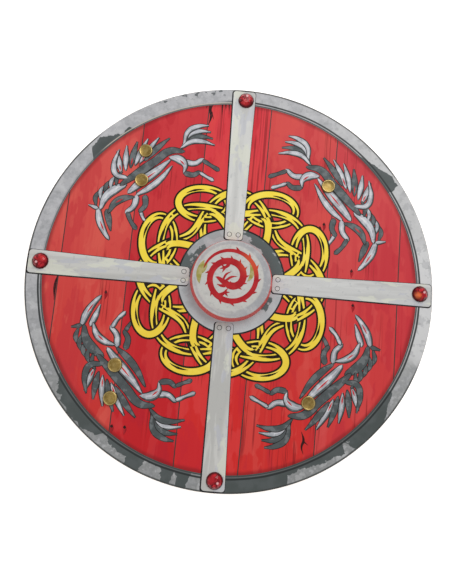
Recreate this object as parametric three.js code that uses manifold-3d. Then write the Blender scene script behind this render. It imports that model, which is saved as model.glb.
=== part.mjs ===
// A toy round shield: a plywood disc with a turned boss and four glued stones on its
// face, and two bowed leather straps riveted to its back.
// Millimetres, +Z up. The shield lies face up on the flat runs of its straps. The origin
// is on the surface it lies on, below the middle of the disc, and +Y is the picture's top.
import * as THREE from 'three';
import { mergeVertices } from 'three/addons/utils/BufferGeometryUtils.js';
import Module from 'manifold-3d';

// Board
const boardRadius = 200;
const boardThickness = 6;
const boardEdgeRound = 0.6;
const boardSegments = 128;

// Boss, a disc turned with a slight taper and glued to the middle of the board
const bossBaseRadius = 40.4;
const bossTopRadius = 38;
const bossHeight = 12;
const bossEdgeRound = 1.2;
const bossSegments = 96;

// Stones, flat-backed and faceted, glued on the four ends of the painted cross
const gemRadius = 8;
const gemHeight = 5;
const gemSides = 16;
const gemPlaces = {
  gem_top: [0, 188.3],
  gem_right: [187, 3],
  gem_bottom: [0, -188.5],
  gem_left: [-186.5, 3],
};

// Straps. A rivet's place is its distance from the strap's middle, along the strap.
const strapThickness = 3;
const loopDepth = 34;
const strapTail = 13;
const strapBendLead = 10;
const straps = [
  {
    name: 'grip_strap',
    width: 30,
    centre: [-100.5, 1.4],
    lean: 1.76,
    rivets: { top_outer: 123, top_inner: 92, bottom_inner: -92, bottom_outer: -123 },
    bendAngle: 50,
    bendRadius: 24,
  },
  {
    name: 'arm_strap',
    width: 26,
    centre: [86.4, -3.2],
    lean: 1.9,
    rivets: { top: 108, bottom: -108 },
    bendAngle: 40,
    bendRadius: 34,
  },
];

// Rivets: a wide, nearly flat cap on the face, a shank, and a small head behind the strap
const capRadius = 6.8;
const capHeight = 2.1;
const capShoulder = 1.4;
const capCrown = 0.3;
const shankRadius = 2;
const backHeadRadius = 4.6;
const backHeadHeight = 1.4;
const rivetSegments = 20;

const fitGap = 0.3;
const roundingSteps = 3;
const strapBendStep = 10;

// Levels above the surface that the shield lies on
const boardBack = strapThickness + loopDepth;
const boardFront = boardBack + boardThickness;
const strapEndBottom = boardBack - strapThickness;

const radians = THREE.MathUtils.degToRad;
const wasm = await Module();
wasm.setup();

function bareGeometry(geometry) {
  const bare = geometry.clone();
  for (const name of Object.keys(bare.attributes)) {
    if (name !== 'position') bare.deleteAttribute(name);
  }
  return mergeVertices(bare, 1e-4);
}

function toSolid(geometry) {
  const bare = bareGeometry(geometry);
  return new wasm.Manifold(new wasm.Mesh({
    numProp: 3,
    vertProperties: new Float32Array(bare.attributes.position.array),
    triVerts: new Uint32Array(bare.index.array),
  }));
}

function toGeometry(solid) {
  const { vertProperties, triVerts } = solid.getMesh();
  const geometry = new THREE.BufferGeometry();
  geometry.setAttribute('position', new THREE.BufferAttribute(vertProperties, 3));
  geometry.setIndex(new THREE.BufferAttribute(triVerts, 1));
  geometry.computeVertexNormals();
  return geometry;
}

// Points on a quarter arc about (x, z), from one angle in degrees to a quarter turn on
function quarter(x, z, radiusX, radiusZ, from, steps) {
  return Array.from({ length: steps + 1 }, (_, i) => {
    const angle = radians(from + 90 * i / steps);
    return new THREE.Vector2(x + radiusX * Math.cos(angle), z + radiusZ * Math.sin(angle));
  });
}

// A turned solid about +Z from its half section, listed from the bottom up
function turned(section, sides) {
  return new THREE.LatheGeometry(section, sides).rotateX(Math.PI / 2);
}

// A straight round bar for cutting a rivet's hole, through everything between two levels
function holeCutter(x, y, bottom, top) {
  const section = [
    new THREE.Vector2(0, bottom),
    new THREE.Vector2(shankRadius + fitGap, bottom),
    new THREE.Vector2(shankRadius + fitGap, top),
    new THREE.Vector2(0, top),
  ];
  return toSolid(turned(section, rivetSegments).translate(x, y, 0));
}

// A place given as a distance along a leaning strap, in the shield's own X and Y
function placeOnStrap(strap, along) {
  const lean = radians(strap.lean);
  return [
    strap.centre[0] + along * Math.sin(lean),
    strap.centre[1] + along * Math.cos(lean),
  ];
}

function drillRivetHoles(solid, rivetStraps, bottom, top) {
  let drilled = solid;
  for (const strap of rivetStraps) {
    for (const along of Object.values(strap.rivets)) {
      const [x, y] = placeOnStrap(strap, along);
      drilled = drilled.subtract(holeCutter(x, y, bottom, top));
    }
  }
  return drilled;
}

function boardGeometry() {
  const edge = boardRadius - boardEdgeRound;
  const section = [
    new THREE.Vector2(0, boardBack),
    ...quarter(edge, boardBack + boardEdgeRound, boardEdgeRound, boardEdgeRound, -90, roundingSteps),
    ...quarter(edge, boardFront - boardEdgeRound, boardEdgeRound, boardEdgeRound, 0, roundingSteps),
    new THREE.Vector2(0, boardFront),
  ];
  const disc = toSolid(turned(section, boardSegments));
  return toGeometry(drillRivetHoles(disc, straps, boardBack - 1, boardFront + 1));
}

function bossGeometry() {
  const top = boardFront + bossHeight;
  const round = bossEdgeRound;
  const section = [
    new THREE.Vector2(0, boardFront),
    new THREE.Vector2(bossBaseRadius, boardFront),
    ...quarter(bossTopRadius - round, top - round, round, round, 0, roundingSteps),
    new THREE.Vector2(0, top),
  ];
  return turned(section, bossSegments);
}

function gemGeometry(x, y) {
  const section = [
    new THREE.Vector2(0, boardFront),
    new THREE.Vector2(gemRadius, boardFront),
    new THREE.Vector2(gemRadius, boardFront + 0.2 * gemHeight),
    new THREE.Vector2(0.8 * gemRadius, boardFront + 0.68 * gemHeight),
    new THREE.Vector2(0.5 * gemRadius, boardFront + gemHeight),
    new THREE.Vector2(0, boardFront + gemHeight),
  ];
  return turned(section, gemSides).translate(x, y, 0);
}

function rivetGeometry(x, y) {
  const round = capShoulder;
  const shoulderTop = boardFront + capHeight - capCrown;
  const section = [
    ...quarter(0, strapEndBottom, backHeadRadius, backHeadHeight, -90, roundingSteps),
    new THREE.Vector2(shankRadius, strapEndBottom),
    new THREE.Vector2(shankRadius, boardFront),
    new THREE.Vector2(capRadius, boardFront),
    ...quarter(capRadius - round, shoulderTop - round, round, round, 0, roundingSteps),
    new THREE.Vector2(capRadius / 2, boardFront + capHeight - capCrown / 4),
    new THREE.Vector2(0, boardFront + capHeight),
  ];
  section[0].x = 0;
  return turned(section, rivetSegments).translate(x, y, 0);
}

// The strap's middle line from its centre to one end: a flat run on the surface, a bend up,
// a straight climb, a bend back, and a flat end on the board. Each station holds its
// place along the strap, its height and its slope.
function halfStrapLine(strap) {
  const lever = Math.min(...Object.values(strap.rivets).map(Math.abs));
  const tip = Math.max(...Object.values(strap.rivets)) + strapTail;
  const bend = strap.bendRadius;
  const slope = radians(strap.bendAngle);
  const climb = (loopDepth - 2 * bend * (1 - Math.cos(slope))) / Math.sin(slope);
  const run = 2 * bend * Math.sin(slope) + climb * Math.cos(slope);
  const bendStop = lever - strapBendLead;
  const low = strapThickness / 2;
  const high = boardBack - strapThickness / 2;
  const steps = Math.ceil(strap.bendAngle / strapBendStep);
  const bends = Array.from({ length: steps + 1 }, (_, i) => slope * i / steps);
  return [
    { along: 0, height: low, slope: 0 },
    ...bends.map((angle) => ({
      along: bendStop - run + bend * Math.sin(angle),
      height: low + bend * (1 - Math.cos(angle)),
      slope: angle,
    })),
    ...bends.reverse().map((angle) => ({
      along: bendStop - bend * Math.sin(angle),
      height: high - bend * (1 - Math.cos(angle)),
      slope: angle,
    })),
    { along: tip, height: high, slope: 0 },
  ];
}

function strapSideOutline(strap) {
  const half = halfStrapLine(strap);
  const mirrored = half.slice(1).reverse().map((station) => ({
    along: -station.along, height: station.height, slope: -station.slope,
  }));
  const line = [...mirrored, ...half];
  const offset = (station, side) => new THREE.Vector2(
    station.along - side * strapThickness / 2 * Math.sin(station.slope),
    station.height + side * strapThickness / 2 * Math.cos(station.slope),
  );
  return new THREE.Shape([
    ...line.map((station) => offset(station, -1)),
    ...line.reverse().map((station) => offset(station, 1)),
  ]);
}

// The strap seen from above: straight sides with half-round ends
function strapPlan(strap) {
  const tip = Math.max(...Object.values(strap.rivets)) + strapTail;
  const half = strap.width / 2;
  const plan = new THREE.Shape();
  plan.absarc(0, tip - half, half, 0, Math.PI);
  plan.absarc(0, half - tip, half, Math.PI, 2 * Math.PI);
  return plan;
}

function strapGeometry(strap) {
  const wide = strap.width + 2;
  const side = new THREE.ExtrudeGeometry(strapSideOutline(strap), { depth: wide, bevelEnabled: false });
  side.translate(0, 0, -wide / 2).applyMatrix4(new THREE.Matrix4().set(
    0, 0, 1, 0,
    1, 0, 0, 0,
    0, 1, 0, 0,
    0, 0, 0, 1,
  ));
  const plan = new THREE.ExtrudeGeometry(strapPlan(strap), {
    depth: boardBack + 2, bevelEnabled: false, curveSegments: 18,
  }).translate(0, 0, -1);
  const bowed = toSolid(side).intersect(toSolid(plan));
  const placed = toGeometry(bowed);
  placed.rotateZ(-radians(strap.lean)).translate(...strap.centre, 0);
  return toGeometry(drillRivetHoles(toSolid(placed), [strap], strapEndBottom - 1, boardBack + 1));
}

const plywood = new THREE.MeshStandardMaterial({ color: 0xc8302c, roughness: 0.6, metalness: 0 });
const bossPaint = new THREE.MeshStandardMaterial({ color: 0xc9c9cb, roughness: 0.55, metalness: 0 });
const acrylic = new THREE.MeshStandardMaterial({ color: 0xa0101a, roughness: 0.1, metalness: 0 });
const brass = new THREE.MeshStandardMaterial({ color: 0xb59a4c, roughness: 0.3, metalness: 1 });
const leather = new THREE.MeshStandardMaterial({ color: 0x5a3a24, roughness: 0.7, metalness: 0 });

const group = new THREE.Group();

function addPiece(name, geometry, material) {
  const mesh = new THREE.Mesh(geometry, material);
  mesh.name = name;
  group.add(mesh);
}

addPiece('board', boardGeometry(), plywood);
addPiece('boss', bossGeometry(), bossPaint);
for (const [name, [x, y]] of Object.entries(gemPlaces)) {
  addPiece(name, gemGeometry(x, y), acrylic);
}
for (const strap of straps) {
  addPiece(strap.name, strapGeometry(strap), leather);
  for (const [place, along] of Object.entries(strap.rivets)) {
    const name = `${strap.name.replace('_strap', '')}_rivet_${place}`;
    addPiece(name, rivetGeometry(...placeOnStrap(strap, along)), brass);
  }
}

export default group;
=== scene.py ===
import itertools
import math
import bpy
import numpy as np
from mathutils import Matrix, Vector


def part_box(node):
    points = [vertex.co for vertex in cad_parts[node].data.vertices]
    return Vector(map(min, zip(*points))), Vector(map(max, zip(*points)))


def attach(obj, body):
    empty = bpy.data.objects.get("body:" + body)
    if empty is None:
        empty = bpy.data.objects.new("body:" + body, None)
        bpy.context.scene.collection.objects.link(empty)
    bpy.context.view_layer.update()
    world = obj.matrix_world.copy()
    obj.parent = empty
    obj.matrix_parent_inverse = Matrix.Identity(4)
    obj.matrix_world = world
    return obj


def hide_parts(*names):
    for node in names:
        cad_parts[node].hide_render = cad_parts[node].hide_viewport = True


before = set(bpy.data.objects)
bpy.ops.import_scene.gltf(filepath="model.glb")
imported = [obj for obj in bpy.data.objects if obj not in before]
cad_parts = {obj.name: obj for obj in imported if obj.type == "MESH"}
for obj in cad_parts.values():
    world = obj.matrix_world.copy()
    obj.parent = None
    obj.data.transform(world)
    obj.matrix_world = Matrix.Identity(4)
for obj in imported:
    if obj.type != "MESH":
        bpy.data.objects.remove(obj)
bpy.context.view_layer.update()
bpy.ops.object.select_all(action="DESELECT")

# ---------------------------------------------------------------------------
# Camera, floor and light. The shield lies face up on a pale floor, and the camera
# looks almost straight down on it from a little below the middle of its face.
MM = 0.001
face_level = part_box("board")[1].z
camera_place = Vector((-14.0 * MM, -73.8 * MM, face_level + 464.0 * MM))
camera_turn = (0.13098, -0.03244, 0.08357)
camera_lens = 29.56
floor_half = 3.0

bpy.ops.object.camera_add(location=camera_place, rotation=camera_turn)
bpy.context.object.data.lens = camera_lens
bpy.context.scene.camera = bpy.context.object


def soft_light(name, place, size, power, colour=(1.0, 1.0, 1.0)):
    """A square area light at place, turned to face the shield."""
    aim = (Vector((0, 0, face_level)) - Vector(place)).to_track_quat("-Z", "Y")
    bpy.ops.object.light_add(type="AREA", location=place, rotation=aim.to_euler())
    light = bpy.context.object
    light.name = name
    light.data.size = size
    light.data.energy = power
    light.data.color = colour


soft_light("key_light", (0.55, 0.95, 1.15), 0.9, 12.4)
soft_light("fill_light", (-0.9, -0.5, 1.3), 1.2, 4.2)

bpy.ops.mesh.primitive_plane_add(size=2 * floor_half)
floor = bpy.context.object
floor.name = "floor"
floor_paint = bpy.data.materials.new("floor_paint")
floor_paint.use_nodes = True
floor_shader = floor_paint.node_tree.nodes["Principled BSDF"]
floor_shader.inputs["Base Color"].default_value = (0.92, 0.92, 0.92, 1)
floor_shader.inputs["Roughness"].default_value = 0.9
floor_shader.inputs["Emission Color"].default_value = (1, 1, 1, 1)
floor_shader.inputs["Emission Strength"].default_value = 0.5
floor.data.materials.append(floor_paint)

sky = bpy.data.worlds.new("studio")
sky.use_nodes = True
sky.node_tree.nodes["Background"].inputs["Color"].default_value = (1, 1, 1, 1)
sky.node_tree.nodes["Background"].inputs["Strength"].default_value = 0.52
bpy.context.scene.world = sky
bpy.context.scene.view_settings.view_transform = "Standard"


# ---------------------------------------------------------------------------
# Board. A disc of five-ply birch, sawn round, its edge sanded lightly. The back stays
# bare veneer and the face carries the printed picture over a dark ground coat.
class Value:
    """A number that varies over a surface. Arithmetic on it adds Math nodes."""

    def __init__(self, finish, socket):
        self.finish = finish
        self.socket = socket

    def math(self, operation, *values):
        return self.finish.node("ShaderNodeMath", {"operation": operation}, dict(enumerate(values)))

    def __add__(self, other):
        return self.math("ADD", self, other)

    def __sub__(self, other):
        return self.math("SUBTRACT", self, other)

    def __rsub__(self, other):
        return self.math("SUBTRACT", other, self)

    def __mul__(self, other):
        return self.math("MULTIPLY", self, other)

    def __truediv__(self, other):
        return self.math("DIVIDE", self, other)

    def __pow__(self, other):
        return self.math("POWER", self, other)

    __radd__ = __add__
    __rmul__ = __mul__

    def math_of(self, operation):
        """A Math node that takes this value alone."""
        return self.math(operation, self)

    def absolute(self):
        return self.math("ABSOLUTE", self)

    def least(self, other):
        return self.math("MINIMUM", self, other)

    def most(self, other):
        return self.math("MAXIMUM", self, other)

    def fade(self, start, end):
        """0 at start, 1 at end, and smooth between them; start may be the larger."""
        settings = {"interpolation_type": "SMOOTHSTEP"}
        return self.finish.node("ShaderNodeMapRange", settings, {0: self, 1: start, 2: end, 3: 0.0, 4: 1.0})


class Finish:
    """One material: constants go on its Principled shader, and varying values through nodes."""

    def __init__(self, name, **constants):
        self.material = bpy.data.materials.new(name)
        self.material.use_nodes = True
        self.tree = self.material.node_tree
        self.shader = self.tree.nodes["Principled BSDF"]
        for socket, value in constants.items():
            self.shader.inputs[socket.replace("_", " ")].default_value = value
        metres = self.node("ShaderNodeTexCoord", {}, {}, "Object")
        self.place = self.node("ShaderNodeVectorMath", {"operation": "SCALE"}, {0: metres, 3: 1 / MM})
        self.x, self.y, self.z = (
            self.node("ShaderNodeSeparateXYZ", {}, {0: self.place}, axis) for axis in "XYZ"
        )

    def node(self, kind, settings, values, output=0):
        """A new node: its settings first, then its sockets' values or links. Returns one output."""
        node = self.tree.nodes.new(kind)
        for name, value in settings.items():
            if name == "stops":
                ramp = node.color_ramp.elements
                while len(ramp) < len(value):
                    ramp.new(1.0)
                for stop, (position, colour) in zip(ramp, value):
                    stop.position = position
                    stop.color = (*colour, 1)
            else:
                setattr(node, name, value)
        for socket, value in values.items():
            if isinstance(value, Value):
                self.tree.links.new(value.socket, node.inputs[socket])
            else:
                node.inputs[socket].default_value = value
        return Value(self, node.outputs[output])

    def noise(self, size, stretch=(1, 1, 1), detail=3.0, shift=(0, 0, 0)):
        """Soft noise about 0.5, with features of the given size in millimetres."""
        moved = self.node("ShaderNodeMapping", {}, {0: self.place, 1: shift, 3: stretch})
        values = {"Vector": moved, "Scale": 1 / size, "Detail": detail}
        return self.node("ShaderNodeTexNoise", {}, values)

    def mix(self, factor, below, above):
        """Colour above laid over colour below, by a factor or mask."""
        below, above = (c if isinstance(c, Value) else (*c, 1) for c in (below, above))
        return self.node("ShaderNodeMix", {"data_type": "RGBA"}, {0: factor, 6: below, 7: above}, 2)

    def start(self, factor, below, above):
        """Starts the finish's own tone, which lay then adds to."""
        self.tone = self.mix(factor, below, above)

    def lay(self, mask, colour):
        """Lays a colour over the finish's own tone, by a mask."""
        self.tone = self.mix(mask, self.tone, colour)

    def round_from(self, x=0.0, y=0.0):
        """Distance in millimetres and bearing in degrees from a place on the face."""
        across, up = self.x - x, self.y - y
        distance = (across * across + up * up) ** 0.5
        bearing = up.math("ARCTAN2", up, across)
        return distance, bearing * (180 / math.pi)

    def feed(self, socket, value):
        self.tree.links.new(value.socket, self.shader.inputs[socket])

    def bump(self, height, distance, strength=1.0):
        """Raises the surface by height times a distance in millimetres, in the shading only."""
        values = {"Strength": strength, "Distance": distance * MM, "Height": height}
        self.feed("Normal", self.node("ShaderNodeBump", {}, values))

    def dress(self, *pieces):
        for piece in pieces:
            piece.data.materials.clear()
            piece.data.materials.append(self.material)


def deselect():
    bpy.ops.object.select_all(action="DESELECT")


def use_only(piece):
    deselect()
    piece.select_set(True)
    bpy.context.view_layer.objects.active = piece


def edit(piece):
    """Opens a piece in edit mode with nothing selected."""
    use_only(piece)
    bpy.ops.object.mode_set(mode="EDIT")
    bpy.ops.mesh.select_all(action="DESELECT")


def close_edit():
    bpy.ops.object.mode_set(mode="OBJECT")


def settle(piece, name, smooth=30):
    """Names a finished piece, puts its place in its mesh, and rides it on the shield."""
    use_only(piece)
    bpy.ops.object.transform_apply(location=True, rotation=True, scale=True)
    if smooth:
        bpy.ops.object.shade_smooth_by_angle(angle=math.radians(smooth))
    piece.name = name
    piece.data.name = name
    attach(piece, "root")
    return piece


def turn(name, section, sides):
    """A turned solid about +Z through (radius, level) pairs in millimetres, from the bottom up."""
    radius, level = section[0]
    place = (0, 0, level * MM)
    bpy.ops.mesh.primitive_circle_add(vertices=sides, radius=radius * MM, fill_type="NGON", location=place)
    piece = bpy.context.object
    piece.name = name
    edit(piece)
    bpy.ops.mesh.select_all(action="SELECT")
    for next_radius, next_level in section[1:]:
        climb = (0, 0, (next_level - level) * MM)
        bpy.ops.mesh.extrude_region_move(TRANSFORM_OT_translate={"value": climb})
        ratio = next_radius / radius
        bpy.ops.transform.resize(value=(ratio, ratio, 1), center_override=(0, 0, 0))
        radius, level = next_radius, next_level
    bpy.ops.mesh.select_all(action="SELECT")
    bpy.ops.mesh.normals_make_consistent(inside=False)
    close_edit()
    return piece


def rounding(radius, level, round_by, steps, start):
    """(radius, level) pairs of a quarter round, from start degrees; 0 is outward and 90 is up."""
    pairs = []
    for step in range(steps + 1):
        angle = math.radians(start + 90 * step / steps)
        pairs.append((radius + round_by * math.cos(angle), level + round_by * math.sin(angle)))
    return pairs


board_low, board_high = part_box("board")
board_radius = board_high.x / MM
board_back = board_low.z / MM
board_front = board_high.z / MM
board_edge_round = 0.6
board_rim = board_radius - board_edge_round
board = turn("board_ply", [
    *rounding(board_rim, board_back + board_edge_round, board_edge_round, 3, -90),
    *rounding(board_rim, board_front - board_edge_round, board_edge_round, 3, 0),
], 256)

ply = Finish("birch_ply", Roughness=0.62, Specular_IOR_Level=0.35)
veneer_grain = ply.noise(2.2, (1, 0.035, 0.4), 5.0)
veneer_figure = ply.noise(46, (1, 0.28, 1), 2.0, (30, 0, 0))
veneer_pores = ply.noise(0.55, (1, 0.03, 1), 2.0, (0, 70, 0)).fade(0.62, 0.72)
veneer = ply.mix(veneer_grain.fade(0.35, 0.65), (0.62, 0.44, 0.27), (0.76, 0.6, 0.41))
veneer = ply.mix(veneer_figure.fade(0.42, 0.66) * 0.5, veneer, (0.58, 0.4, 0.23))
veneer = ply.mix(veneer_pores * 0.35, veneer, (0.3, 0.18, 0.09))
ply_count = 5
ply_layer = (ply.z - board_back) / ((board_front - board_back) / ply_count)
end_grain = (ply_layer.math("PINGPONG", ply_layer, 1.0) - 0.5).fade(-0.12, 0.12)
edge_speckle = ply.noise(0.9, (1, 1, 2.5), 3.0, (11, 5, 0)).fade(0.3, 0.7)
edge_wood = ply.mix(end_grain, (0.35, 0.21, 0.11), (0.68, 0.5, 0.31))
edge_wood = ply.mix(edge_speckle * 0.4, edge_wood, (0.24, 0.14, 0.07))
axis_distance, _ = ply.round_from()
on_edge = axis_distance.fade(board_rim - 0.2, board_rim + 0.25)
wood = ply.mix(on_edge, veneer, edge_wood)
on_face = (ply.z - board_front).fade(-0.6, -0.5)
ply.feed("Base Color", ply.mix(on_face, wood, (0.045, 0.03, 0.028)))
ply.bump(veneer_grain * (1.0 - on_face), 0.12, 0.6)
ply.dress(board)
settle(board, "board_ply", 35)
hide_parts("board")

# ---------------------------------------------------------------------------
# Planks. The printed picture shows seven red boards side by side, with dark seams that
# lean a little. Each is a flat coat of paint with its own red and its own grain.
plank_radius = 183.3
plank_coat = 0.06
seam_gap = 1.0
seams = [(-166.5, -168.5), (-101.0, -102.0), (-37.0, -39.5), (27.5, 20.5), (98.0, 90.0), (166.5, 163.0)]
plank_tones = [
    ((0.66, 0.09, 0.076), (0.58, 0.046, 0.04)),
    ((0.65, 0.09, 0.078), (0.57, 0.03, 0.027)),
    ((0.57, 0.036, 0.044), (0.52, 0.013, 0.018)),
    ((0.66, 0.042, 0.054), (0.61, 0.022, 0.02)),
    ((0.61, 0.062, 0.062), (0.6, 0.027, 0.024)),
    ((0.56, 0.046, 0.056), (0.6, 0.042, 0.042)),
    ((0.6, 0.06, 0.066), (0.58, 0.03, 0.036)),
]


def flat_circle(radius, level, sides=256):
    place = (0, 0, (board_front + level) * MM)
    bpy.ops.mesh.primitive_circle_add(vertices=sides, radius=radius * MM, fill_type="NGON", location=place)
    return bpy.context.object


def cut_beyond(place, direction):
    """In edit mode, cuts away what lies beyond a line through place, both in millimetres."""
    bpy.ops.mesh.select_all(action="SELECT")
    plane_point = (place[0] * MM, place[1] * MM, board_front * MM)
    plane_normal = Vector((direction[0], direction[1], 0)).normalized()
    bpy.ops.mesh.bisect(plane_co=plane_point, plane_no=plane_normal, clear_outer=True)


def thicken(piece, coat):
    """Gives a flat piece of paint its thickness, upwards."""
    use_only(piece)
    wall = piece.modifiers.new("coat", "SOLIDIFY")
    wall.thickness = coat * MM
    wall.offset = 1
    bpy.ops.object.modifier_apply(modifier=wall.name)


def plank_finish(number, top_tone, bottom_tone):
    """One plank's paint: patches a shade lighter or darker, grain streaks, and a painted shadow line by the
    rim.
    """
    paint = Finish(f"red_plank_{number}", Roughness=0.5, Specular_IOR_Level=0.15)
    own = (number * 37.0, number * 91.0, 0)
    crossed = (own[1], own[0], 0)
    red, green, blue = ((a + b) / 2 for a, b in zip(top_tone, bottom_tone))
    lighter = (min(red * 1.1, 0.7), green * 1.75, blue * 1.5)
    darker = (red * 0.84, green * 0.5, blue * 0.75)
    paint.start(paint.y.fade(170, -170), top_tone, bottom_tone)
    patches = paint.noise(34, (1, 0.4, 1), 4.0, own)
    paint.lay(patches.fade(0.54, 0.57) * 0.45, lighter)
    paint.lay(patches.fade(0.46, 0.43) * 0.5, darker)
    small_patches = paint.noise(13, (1, 0.3, 1), 3.0, crossed)
    paint.lay(small_patches.fade(0.6, 0.63) * 0.4, lighter)
    paint.lay(small_patches.fade(0.39, 0.36) * 0.45, darker)
    streaks = paint.noise(4.2, (1, 0.03, 1), 3.0, own)
    paint.lay(streaks.fade(0.56, 0.66) * 0.16, lighter)
    paint.lay(streaks.fade(0.44, 0.34) * 0.18, darker)
    fine_lines = paint.noise(1.7, (1, 0.012, 1), 2.0, own)
    where_lined = paint.noise(30, (1, 0.35, 1), 1.0, crossed).fade(0.53, 0.62)
    paint.lay(fine_lines.fade(0.44, 0.38) * where_lined * 0.65, (0.22, 0.009, 0.012))
    distance, _ = paint.round_from()
    # Painted shade: the red darkens in a band along the rim's inner edge.
    rim_shadow_band = (distance - 5 * (patches - 0.5)).fade(plank_radius - 4.5, plank_radius - 0.5)
    paint.lay(rim_shadow_band * 0.55, (0.16, 0.01, 0.012))
    paint.feed("Base Color", paint.tone)
    paint.feed("Roughness", 0.44 + 0.16 * patches)
    return paint


beyond = 300
plank_sides = [(-beyond, -beyond), *seams, (beyond, beyond)]
for number, tones in enumerate(plank_tones, start=1):
    left, right = plank_sides[number - 1], plank_sides[number]
    plank = flat_circle(plank_radius, 0)
    edit(plank)
    for (top_x, bottom_x), side in ((left, -1), (right, 1)):
        place = ((top_x + bottom_x) / 2 - side * seam_gap / 2, 0)
        lean = (bottom_x - top_x) / (2 * board_radius)
        cut_beyond(place, (side, side * lean))
    close_edit()
    thicken(plank, plank_coat)
    plank_finish(number, *tones).dress(plank)
    settle(plank, f"plank_{number}", 0)

# ---------------------------------------------------------------------------
# Rim. A grey metal band printed round the edge: a light, worn face with ragged slate
# patches, a dark line at the cut edge, and a double line inside it.
rim_outer = board_rim + 0.1
rim_inner = 183.6
rim_coat = 0.08


def flat_ring(outer, inner, coat, sides=256):
    """A closed flat ring of paint between two radii."""
    ring = flat_circle(outer, 0, sides)
    edit(ring)
    bpy.ops.mesh.select_all(action="SELECT")
    bpy.ops.mesh.inset(thickness=(outer - inner) * MM)
    bpy.ops.mesh.delete(type="FACE")
    close_edit()
    thicken(ring, coat)
    return ring


rim = flat_ring(rim_outer, rim_inner, rim_coat)
band = Finish("rim_metal_print", Roughness=0.46, Specular_IOR_Level=0.2)
rim_distance, rim_bearing = band.round_from()
rim_mottle = band.noise(15, (1, 1, 1), 4.0, (3, 3, 0))
rim_torn = band.noise(4.6, (1, 1, 1), 4.0, (9, 1, 0))
rim_fine = band.noise(2.6, (1, 1, 1), 4.0, (7, 1, 0))


def round_bearing(middle, half):
    """1 where the rim's bearing is within half degrees of middle, fading over the last fifth."""
    return (rim_bearing - middle).absolute().fade(half, half * 0.8)


def torn(outline):
    """Slate from the inside of the rim up to a torn outline, as (bearing, share of the rim's width)."""
    first, last = outline[0][0], outline[-1][0]
    share = (rim_bearing + 2.4 * (rim_torn - 0.5) - first) / (last - first)
    stops = [((bearing - first) / (last - first), (height / 2,) * 3) for bearing, height in outline]
    height = band.node("ShaderNodeValToRGB", {"stops": stops}, {"Fac": share})
    reach = rim_inner + 2 * (rim_outer - rim_inner) * height + 8 * (rim_torn - 0.5)
    inside = share.fade(0, 0.02) * share.fade(1, 0.98)
    return (reach - rim_distance).fade(-0.25, 0.25) * inside


band.start(band.x.fade(20, 190), (0.43, 0.43, 0.445), (0.5, 0.5, 0.5))
rim_low = (band.y + 60).fade(70, -70)
band.lay(rim_low, (0.25, 0.255, 0.255))
band.lay(round_bearing(-2, 19) * 0.75, (0.64, 0.64, 0.64))
band.lay(rim_mottle.fade(0.55, 0.58) * 0.3, (0.58, 0.58, 0.58))
band.lay(rim_mottle.fade(0.45, 0.42) * 0.35, (0.28, 0.285, 0.3))
rim_flecks = band.noise(5.5, (1, 1, 1), 4.0, (21, 1, 0))
band.lay(rim_flecks.fade(0.58, 0.61) * 0.3, (0.56, 0.56, 0.58))
band.lay(rim_flecks.fade(0.41, 0.38) * 0.3, (0.24, 0.25, 0.25))
band.lay(rim_fine.fade(0.45, 0.6) * 0.1, (0.66, 0.66, 0.66))
# Slate patches, from the lower left round to the upper left
slate_outlines = [
    [(-147, 0), (-145, 0.35), (-142, 0.7), (-137, 0.9), (-131, 0.9), (-126, 0.6), (-124.4, 0.15),
     (-122.5, 0.5), (-117, 0.55), (-115.6, 0.5), (-115, 1.3), (-111.5, 1.3), (-111, 0.3),
     (-106, 0.2), (-104.6, 1.2), (-102.6, 1.2), (-101.5, 0.1), (-100, 1.1), (-98, 1.1),
     (-97, 0.1), (-96, 0.0)],
    [(-90, 1.4), (-70, 1.4), (-69.5, 0.45), (-64, 0.4), (-61.5, 0.55), (-55, 0.6), (-52, 0.8),
     (-51, 0.15), (-49.9, 0.2), (-49.2, 0.9), (-46, 1.2), (-41, 1.2), (-37, 0.85), (-33, 0.45),
     (-30.5, 0.4), (-29.5, 0)],
    [(34, 0), (35, 0.8), (38, 0.85), (42, 0.5), (48, 0.15), (50, 0)],
    [(127, 0), (128.5, 0.3), (131, 0.15), (133, 0.35), (137, 0.85), (141, 0.65), (143.5, 0)],
]
slate = torn(slate_outlines[0])
for outline in slate_outlines[1:]:
    slate = slate.most(torn(outline))
slate_tone = band.mix(rim_mottle.fade(0.4, 0.62), (0.07, 0.082, 0.08), (0.088, 0.1, 0.1))
band.lay(slate, slate_tone)
rim_spots = band.noise(4.4, (1, 1, 1), 2.0, (31, 8, 0)).fade(0.6, 0.63)
rim_spots = rim_spots * round_bearing(106, 12) * rim_distance.fade(191, 196)
band.lay(rim_spots, (0.13, 0.14, 0.145))
line_wobble = 1.2 * (band.noise(40, (1, 1, 1), 2.0, (50, 0, 0)) - 0.5)
outer_line = (rim_distance + line_wobble).fade(rim_outer - 1.5, rim_outer - 1.0)
outer_line = outer_line * (1.0 - round_bearing(8, 32)) * (1.0 - round_bearing(115, 24))
band.lay(outer_line * 0.85, (0.05, 0.055, 0.052))
upper_left = round_bearing(139, 48)
inner_shade = (rim_distance + line_wobble).fade(rim_inner + 3.6, rim_inner + 0.4)
band.lay(inner_shade * 0.55, (0.17, 0.175, 0.18))
first_line = (rim_distance - (rim_inner + 0.75)).absolute().fade(0.65, 0.4)
band.lay(first_line * (1.0 - 0.3 * upper_left), (0.05, 0.055, 0.055))
second_line = (rim_distance + line_wobble - (rim_inner + 3.2)).absolute().fade(1.1, 0.7)
band.lay(second_line * (1.0 - upper_left) * 0.95, (0.022, 0.026, 0.026))
pale_line = (rim_distance - (rim_inner + 1.7)).absolute().fade(0.6, 0.35) * round_bearing(115, 26)
band.lay(pale_line * 0.8, (0.55, 0.5, 0.42))
band.feed("Base Color", band.tone)
band.feed("Roughness", 0.4 + 0.2 * rim_mottle)
band.dress(rim)
settle(rim, "rim_band", 0)

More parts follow.
